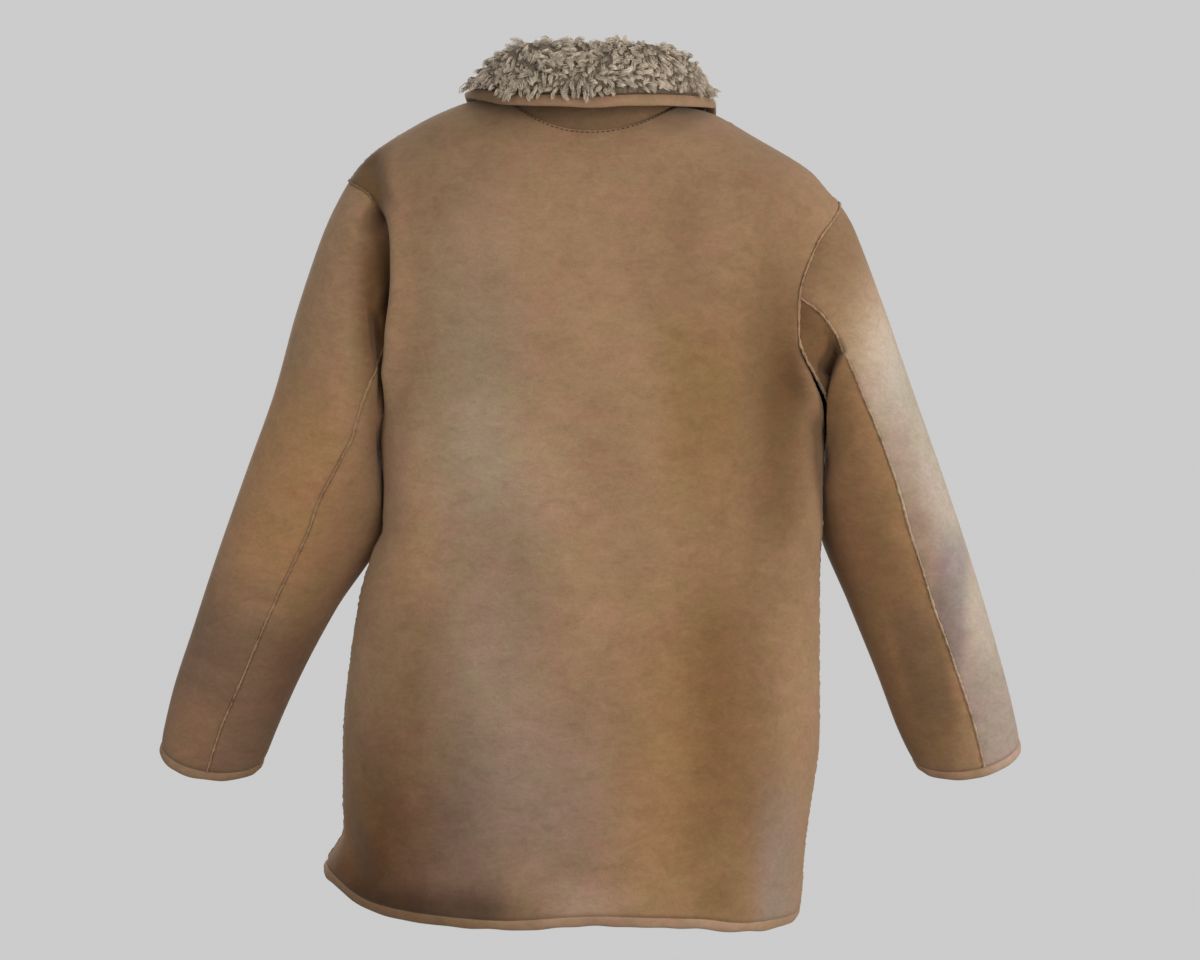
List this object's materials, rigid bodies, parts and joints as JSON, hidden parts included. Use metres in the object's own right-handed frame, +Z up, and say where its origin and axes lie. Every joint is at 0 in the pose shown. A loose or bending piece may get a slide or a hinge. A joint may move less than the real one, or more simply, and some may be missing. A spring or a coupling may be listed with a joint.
{
  "type": "teddy coat",
  "caption": "Thigh-length coat of bonded suede with teddy pile inside, turned-over pile collar, two-piece sleeves and bound edges, filled out and hollow",
  "frame": {"origin": "middle of the neck, level with the neck points of the shoulders, where a wearer's shoulders carry the coat", "axes": "+X towards the wearer's left, +Y towards the coat's back, +Z up"},
  "size_m": [0.8915, 0.2818, 0.8579],
  "materials": {
    "suede": "matt brushed suede nap",
    "pile": "matt curly teddy pile",
    "binding": "matt suede, folded over the edge",
    "button": "satin"
  },
  "bodies": {
    "root": {"back": "suede", "front_left": "suede", "front_right": "suede", "sleeve_top_left": "suede", "sleeve_top_right": "suede", "sleeve_under_left": "suede", "sleeve_under_right": "suede", "collar": "suede", "collar_pile": "pile", "collar_binding": "binding", "hem_binding_back": "binding", "hem_binding_front_left": "binding", "hem_binding_front_right": "binding", "cuff_binding_left": "binding", "cuff_binding_right": "binding", "front_edge_binding_left": "binding", "front_edge_binding_right": "binding", "button_1": "button", "button_2": "button", "button_3": "button", "button_4": "button"}
  },
  "joints": []
}
